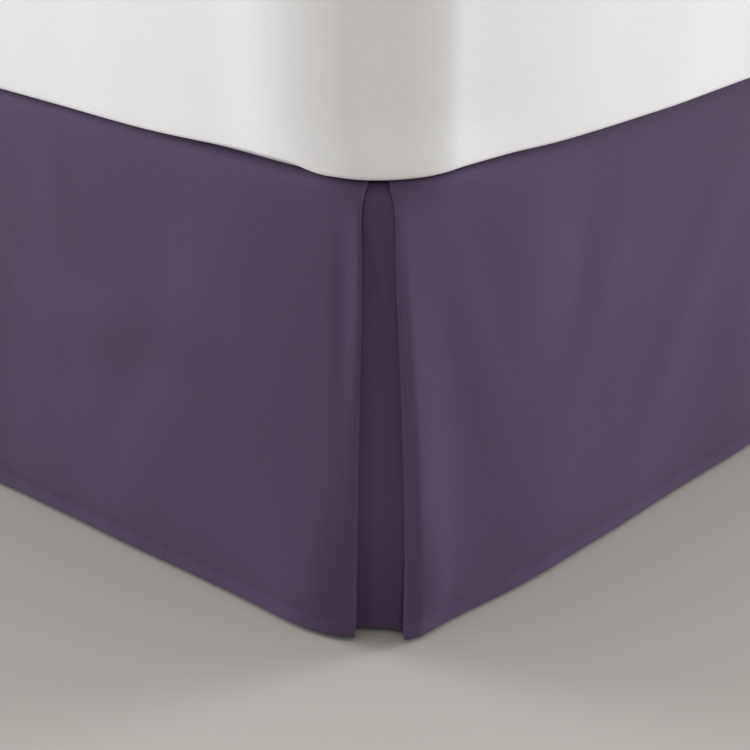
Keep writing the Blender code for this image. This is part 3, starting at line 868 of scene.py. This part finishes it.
class AddFootDrop(bpy.types.Operator):
    """Adds the panel across the foot, with a soft fold at each end"""

    bl_idname = "bedskirt.add_foot_drop"
    bl_label = "Add Foot Drop"
    bl_options = UNDOABLE

    def execute(self, context):
        settings = context.scene.bedskirt_skirt
        ends = {side: foot_end(side, settings) for side in (1, -1)}
        half = end_columns(FOOT_OUTLINE, HALF_WIDTH)
        columns = [(-1, column) for column in half] + [(1, column) for column in half[-2::-1]]
        middle = flat_place(half[-1])
        flat_places = [flat_place(c) if side < 0 else 2.0 * middle - flat_place(c) for side, c in columns]
        # Each column's share of the painted highlight on the folds' edges.
        painted_highlight = [highlight_share(column) for _, column in columns]

        def point(column, climb):
            return ends[column[0]].point(column[1], climb)

        piece = cloth_sheet("foot_drop_cloth", columns, flat_places, drop_rows(), point, settings, painted_highlight)
        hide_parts("foot_drop")
        cut_height(settings)
        return {"FINISHED"}


class AddSideDrops(bpy.types.Operator):
    """Adds the two long panels, each with a soft fold at the foot corner"""

    bl_idname = "bedskirt.add_side_drops"
    bl_label = "Add Side Drops"
    bl_options = UNDOABLE

    def execute(self, context):
        settings = context.scene.bedskirt_skirt
        columns = end_columns(SIDE_OUTLINE, HEAD_Y - FOOT_Y)
        flat_places = [flat_place(column) for column in columns]
        # Each column's share of the painted highlight on the fold's edge.
        painted_highlight = [highlight_share(column) for column in columns]
        for name, side in (("side_drop_right", 1), ("side_drop_left", -1)):
            point = side_end(side, settings).point
            piece = cloth_sheet(f"{name}_cloth", columns, flat_places, drop_rows(), point, settings, painted_highlight)
            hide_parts(name)
            cut_height(settings)
        return {"FINISHED"}


class AddCornerPleats(bpy.types.Operator):
    """Adds the insert behind each foot corner, which is the back of the inverted pleat"""

    bl_idname = "bedskirt.add_corner_pleats"
    bl_label = "Add Corner Pleats"
    bl_options = UNDOABLE

    def execute(self, context):
        settings = context.scene.bedskirt_skirt
        flank = [INSERT_FLANK * i / FLANK_STEPS for i in range(FLANK_STEPS, -1, -1)]
        columns = [Column("foot", value) for value in flank]
        columns += [Column("gap", 0.01 + 0.98 * i / GAP_STEPS) for i in range(GAP_STEPS + 1)]
        columns += [Column("beside", value) for value in reversed(flank)]
        for name, side in (("corner_pleat_right", 1), ("corner_pleat_left", -1)):
            insert = Insert(side, settings)
            flat_places = [insert.flat_place(column) for column in columns]
            piece = cloth_sheet(f"{name}_cloth", columns, flat_places, drop_rows(), insert.point, settings)
            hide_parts(name)
            cut_height(settings)
        return {"FINISHED"}


class Insert:
    """The cloth behind one foot corner: a flank behind each drop, and the pleat's back between them."""

    def __init__(self, side, settings):
        self.side = side
        self.drops = {"foot": foot_end(side, settings), "beside": side_end(side, settings)}
        foot, beside = (self.flank_point(part, 0.0, DROP_HEIGHT / 2) for part in self.drops)
        self.gap_width = (foot - beside).length

    def flat_place(self, column):
        """How far along the flat cloth a column lies, from the foot drop's fold."""
        if column.part == "gap":
            return column.value * self.gap_width
        return -column.value if column.part == "foot" else self.gap_width + column.value

    def flank_point(self, part, from_fold, climb):
        """Behind the drop, and near its fold also behind the cloth that the fold returns."""
        fade = 1.0 - smooth(from_fold, *INSERT_FADE)
        behind = INSERT_BEHIND_DROP + fade * (INSERT_BEHIND_FOLD - INSERT_BEHIND_DROP)
        drop = self.drops[part]
        deep = behind * squeezed(climb) + fade * drop.return_depth(from_fold, climb)
        deep += INSERT_HEM_IN * fade * (1.0 - smooth(climb, 0.0, INSERT_HEM_HEIGHT))
        return drop.layer(from_fold, climb, deep)

    def point(self, column, climb):
        if column.part != "gap":
            return self.flank_point(column.part, column.value, climb)
        start = self.flank_point("foot", 0.0, climb)
        end = self.flank_point("beside", 0.0, climb)
        across = end - start
        out = Vector((across.y, -across.x, 0.0)).normalized() * self.side
        share = min(climb / DROP_HEIGHT, 1.0)
        rise, at, width = LOW_RIDGE
        ridge = rise * bell(column.value - at, width) * (1.0 - smooth(share, *LOW_RIDGE_GOES))
        rise, at, width = UPPER_RIDGE
        at += UPPER_RIDGE_LEAN * (UPPER_RIDGE_FROM - share)
        ridge += rise * bell(column.value - at, width) * smooth(share, *UPPER_RIDGE_COMES)
        bow = INSERT_BOW * (1.0 - (2.0 * column.value - 1.0) ** 4)
        return start.lerp(end, column.value) + out * (ridge - bow) * (1.0 - share**FOLD_FADE)


class AddDeck(bpy.types.Operator):
    """Adds the flat cloth that lies between foundation and mattress and carries the drops"""

    bl_idname = "bedskirt.add_deck"
    bl_label = "Add Deck"
    bl_options = UNDOABLE

    def execute(self, context):
        settings = context.scene.bedskirt_skirt
        width, length = DECK_HIGH.x - DECK_LOW.x, DECK_HIGH.y - DECK_LOW.y
        across = [DECK_LOW.x + width * i / DECK_STEPS for i in range(DECK_STEPS + 1)]
        along = [0.0] + evenly(0.0, 0.03, 0.003) + evenly(0.03, length, 0.04)
        rows = [length - place for place in reversed(along)]
        radius = DECK_HIGH.x - (HALF_WIDTH - TUCK - CORNER_RADIUS)

        def point(x, from_foot):
            """Draws the deck's foot corners in on their round outline."""
            into = max(radius - from_foot, 0.0)
            room = DECK_HIGH.x - radius + math.sqrt(max(radius**2 - into**2, 0.0))
            return Vector((x * room / DECK_HIGH.x, DECK_LOW.y + from_foot, DECK_Z))

        flat_places = [x - DECK_LOW.x for x in across]
        piece = cloth_sheet("deck_cloth", across, flat_places, rows, point, settings)
        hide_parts("deck")
        return {"FINISHED"}


class AddMattress(bpy.types.Operator):
    """Adds the mattress in its white cover, its corners drawn in"""

    bl_idname = "bedskirt.add_mattress"
    bl_label = "Add Mattress"
    bl_options = UNDOABLE

    def execute(self, context):
        bed = context.scene.bedskirt_bed
        low = Vector((MATTRESS_LOW.x + COVER_INSET[0], MATTRESS_LOW.y + COVER_INSET[1], MATTRESS_LOW.z))
        high = Vector((-low.x, -low.y, MATTRESS_HIGH.z))
        places = (
            edge_places(low.x, high.x, edge=0.09, edge_pitch=0.0045, pitch=0.018),
            edge_places(low.y, high.y, edge=0.09, edge_pitch=0.0045, pitch=0.018),
            [low.z]
            + evenly(low.z, low.z + bed.bottom_edge, 0.001)
            + evenly(low.z + bed.bottom_edge, high.z - bed.top_edge, 0.009)
            + evenly(high.z - bed.top_edge, high.z, 0.0045),
        )
        built = subdivided_box(places)
        facts = shape_box(built, low, high, lambda y: bed.corner_radius, bed.top_edge, bed.bottom_edge)
        half, centre = (high - low) / 2, (high + low) / 2
        for vert, (out, inset) in facts.items():
            vert.co += self.relief(vert.co - centre, half, out, inset, bed)
        shine = {"Specular_IOR_Level": 0.3, "Sheen_Weight": 0.08, "Sheen_Roughness": 0.5}
        cotton = woven_material("white_cotton", tuple(bed.cover_colour), COTTON, **shine)
        piece = add_piece("mattress_in_cover", built, cotton)
        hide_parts("mattress")
        return {"FINISHED"}

    def relief(self, place, half, out, inset, bed):
        """How far the cover stands off the plain rounded box: the corners drawn in, the sides crowned."""
        from_x, from_y = half.x - abs(place.x), half.y - abs(place.y)
        height = (place.z + half.z) / (2.0 * half.z)
        hold = 1.0 - DRAW_LESS * smooth(height, 0.35, 1.0)
        near_side = bell(max(from_x - bed.corner_radius, 0.0), 0.1)
        near_foot = bell(max(from_y - bed.corner_radius, 0.0), 0.1)
        pinch = fading(from_y, *PINCH_ALONG_SIDE) * smooth(height, 0.0, 0.15)
        in_x = (fading(from_y, *DRAW_ALONG_SIDE) * hold + pinch) * near_side
        in_y = fading(from_x, *DRAW_ALONG_FOOT) * near_foot * hold
        lift = FOOT_LIFT * band(from_x, *FOOT_LIFT_PLACE) * near_foot
        lift += SIDE_LIFT * band(from_y, *SIDE_LIFT_PLACE) * near_side
        lift *= (1.0 - smooth(height, 0.0, 0.12)) * (1.0 - smooth(inset, 0.003, 0.012))
        moved = Vector((-math.copysign(in_x, place.x), -math.copysign(in_y, place.y), lift))
        at_side = bell(inset, 0.05)
        bulge = bed.side_bulge * math.sin(math.pi * height)
        creased = noise.noise(Vector((place.x * 7.0, place.y * 7.0, place.z * 3.0)))
        creased += 0.5 * noise.noise(Vector((place.x * 19.0, place.y * 19.0, place.z * 6.0 + 5.0)))
        off_wall = (bulge + bed.wrinkle * creased) * at_side
        if 0.0 < abs(out.x) < 1.0:
            turn = math.degrees(math.atan2(abs(out.y), abs(out.x)))
            dip = CORNER_DIP * bell(turn - DIP_TURN, DIP_WIDTH)
            off_wall -= dip * smooth(height, 0.03, 0.15) * at_side
        moved.x += out.x * off_wall
        moved.y += out.y * off_wall
        if height > 0.5:
            flat = 1.0 - at_side
            moved.z += flat * (bed.crown * (1.0 - (place.x / half.x) ** 2) + bed.wrinkle * creased)
        return moved


def base_corner(y):
    """The radius of the foundation's upright corners, which is larger at its foot."""
    return BASE_FOOT_CORNER if y < 0 else BASE_HEAD_CORNER


class AddFoundation(bpy.types.Operator):
    """Adds the foundation in its ticking, piped along its top and bottom edges"""

    bl_idname = "bedskirt.add_foundation"
    bl_label = "Add Foundation"
    bl_options = UNDOABLE

    def execute(self, context):
        bed = context.scene.bedskirt_bed
        low, high = FOUNDATION_LOW, FOUNDATION_HIGH
        places = (
            edge_places(low.x, high.x, edge=0.10, edge_pitch=0.010, pitch=0.04),
            edge_places(low.y, high.y, edge=0.10, edge_pitch=0.010, pitch=0.04),
            edge_places(low.z, high.z, edge=0.030, edge_pitch=0.0012, pitch=0.02),
        )
        built = subdivided_box(places)
        facts = shape_box(built, low, high, base_corner, BASE_TOP_EDGE, BASE_BOTTOM_EDGE)
        for vert, (out, inset) in facts.items():
            stand = 0.0
            if inset < BASE_TOP_EDGE:
                for z in (high.z - BASE_TOP_EDGE - 0.003, low.z + BASE_BOTTOM_EDGE + 0.004):
                    off = vert.co.z - z
                    groove = bell(abs(off) - 0.0055, 0.0015)
                    stand += bed.piping * (bell(off, 0.0022) - 0.3 * groove)
                ripple = noise.noise(Vector((vert.co.x * 14.0, vert.co.y * 14.0, vert.co.z * 5.0)))
                stand += 0.0008 * ripple * math.sin(math.pi * (vert.co.z - low.z) / (high.z - low.z))
            vert.co.x += out.x * stand
            vert.co.y += out.y * stand
        ticking = woven_material("woven_ticking", tuple(bed.ticking_colour), TICKING)
        piece = add_piece("foundation_in_ticking", built, ticking)
        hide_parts("foundation")
        return {"FINISHED"}


class AddLegs(bpy.types.Operator):
    """Adds the six turned legs"""

    bl_idname = "bedskirt.add_legs"
    bl_label = "Add Legs"
    bl_options = UNDOABLE

    def execute(self, context):
        bed = context.scene.bedskirt_bed
        for row in ("foot", "middle", "head"):
            for side in ("right", "left"):
                self.add_leg(f"leg_{row}_{side}", bed)
        return {"FINISHED"}

    def add_leg(self, node, bed):
        """Spins a leg's profile: a chamfered foot, a long taper, a groove and a plain collar."""
        low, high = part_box(node)
        tall = high.z - low.z
        foot, top = LEG_FOOT_RADIUS, (high.x - low.x) / 2
        profile = [(0.0, 0.0), (foot - 0.003, 0.0), (foot - 0.0006, 0.0012), (foot, 0.004)]
        profile += [(foot + (top - foot) * wider, share * tall) for wider, share in LEG_TAPER]
        profile += [(top - 0.001, 0.86 * tall), (top, 0.88 * tall), (top, tall - 0.002)]
        profile += [(top - 0.002, tall), (0.0, tall)]
        centre = (low + high) / 2
        built = bmesh.new()
        verts = [built.verts.new((centre.x + r, centre.y, low.z + z)) for r, z in profile]
        edges = [built.edges.new(pair) for pair in zip(verts, verts[1:])]
        bmesh.ops.spin(
            built,
            geom=verts + edges,
            cent=(centre.x, centre.y, 0.0),
            axis=(0.0, 0.0, 1.0),
            angle=2.0 * math.pi,
            steps=48,
            use_merge=True,
        )
        bmesh.ops.remove_doubles(built, verts=built.verts, dist=1e-5)
        bmesh.ops.recalc_face_normals(built, faces=built.faces)
        piece = add_piece(f"{node}_turned", built, wood_material(bed))
        piece.data.set_sharp_from_angle(angle=math.radians(35.0))
        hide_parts(node)


class AddStudio(bpy.types.Operator):
    """Adds the floor, the soft lights and the camera"""

    bl_idname = "bedskirt.add_studio"
    bl_label = "Add Studio"
    bl_options = UNDOABLE

    def execute(self, context):
        studio = context.scene.bedskirt_studio
        built = bmesh.new()
        bmesh.ops.create_grid(built, x_segments=1, y_segments=1, size=25.0)
        place_object("floor", new_mesh("floor", built, floor_material(studio)))
        self.add_camera(context, studio)
        self.add_light("left_softbox", studio.left_power, azimuth=197.0, height=14.0, past=(0.0, 10.0))
        self.add_light("right_softbox", studio.right_power, azimuth=62.0, height=14.0, past=(5.0, 7.0))
        world = bpy.data.worlds.new("studio_light")
        world.use_nodes = True
        sky = world.node_tree.nodes["Background"]
        feed(world.node_tree, sky, Color=(1.0, 0.98, 0.93, 1.0), Strength=studio.sky)
        context.scene.world = world
        context.scene.view_settings.view_transform = "Standard"
        return {"FINISHED"}

    def add_camera(self, context, studio):
        azimuth = studio.camera_azimuth
        back = Vector((math.sin(azimuth), -math.cos(azimuth), 0.0))
        across = Vector((math.cos(azimuth), math.sin(azimuth), 0.0))
        camera = place_object("camera", bpy.data.cameras.new("camera"))
        camera.data.lens = studio.focal_length
        camera.location = Vector((HALF_WIDTH, FOOT_Y, studio.camera_height))
        camera.location += back * studio.camera_distance + across * studio.camera_shift
        camera.rotation_euler = (math.pi / 2 - studio.camera_pitch, 0.0, azimuth)
        context.scene.camera = camera

    def add_light(self, name, power, azimuth, height, past):
        """A square softbox that grazes the skirt, seen from its foot corner at these two angles.

        Its beam is turned past the corner, sideways and upwards, to let the light fall off there."""
        data = bpy.data.lights.new(name, "AREA")
        data.size = SOFTBOX_SIZE
        data.spread = math.radians(SOFTBOX_SPREAD)
        data.energy = power
        data.color = (0.95, 0.965, 1.0)
        light = place_object(name, data)
        corner = Vector((HALF_WIDTH, FOOT_Y, LIT_HEIGHT))
        light.location = corner + direction(azimuth, height) * SOFTBOX_DISTANCE
        light.rotation_mode = "QUATERNION"
        beam = direction(azimuth + past[0], height - past[1])
        light.rotation_quaternion = beam.to_track_quat("Z", "Y")
        light.visible_camera = False


def direction(azimuth, height):
    """The way to what is seen at these angles, in degrees."""
    turn = Matrix.Rotation(math.radians(azimuth), 4, "Z") @ Matrix.Rotation(math.radians(-height), 4, "Y")
    return turn @ Vector((1.0, 0.0, 0.0))


class BedSkirtPanel(bpy.types.Panel):
    """Lists the pieces of the bed skirt and what may be changed on them"""

    bl_idname = "VIEW3D_PT_bedskirt"
    bl_label = "Bed Skirt"
    bl_space_type = "VIEW_3D"
    bl_region_type = "UI"
    bl_category = "Bed Skirt"

    def draw(self, context):
        layout = self.layout
        for group, label, _ in GROUPS:
            box = layout.box()
            box.label(text=label)
            settings = getattr(context.scene, group)
            for name in settings.__annotations__:
                box.prop(settings, name)
        for operator in OPERATORS:
            layout.operator(operator.bl_idname)


GROUPS = (
    ("bedskirt_skirt", "Skirt", SkirtSettings),
    ("bedskirt_bed", "Bed", BedSettings),
    ("bedskirt_studio", "Studio", StudioSettings),
)
OPERATORS = (
    AddFootDrop,
    AddSideDrops,
    AddCornerPleats,
    AddDeck,
    AddMattress,
    AddFoundation,
    AddLegs,
    AddStudio,
)


def register():
    for name, _, made in GROUPS:
        bpy.utils.register_class(made)
        setattr(bpy.types.Scene, name, bpy.props.PointerProperty(type=made))
    for made in (*OPERATORS, BedSkirtPanel):
        bpy.utils.register_class(made)


def unregister():
    for made in (BedSkirtPanel, *reversed(OPERATORS)):
        bpy.utils.unregister_class(made)
    for name, _, made in GROUPS:
        delattr(bpy.types.Scene, name)
        bpy.utils.unregister_class(made)


def main():
    register()
    bpy.ops.bedskirt.add_foot_drop()
    bpy.ops.bedskirt.add_side_drops()
    bpy.ops.bedskirt.add_corner_pleats()
    bpy.ops.bedskirt.add_deck()
    bpy.ops.bedskirt.add_mattress()
    bpy.ops.bedskirt.add_foundation()
    bpy.ops.bedskirt.add_legs()
    bpy.ops.bedskirt.add_studio()


if __name__ == "__main__":
    main()
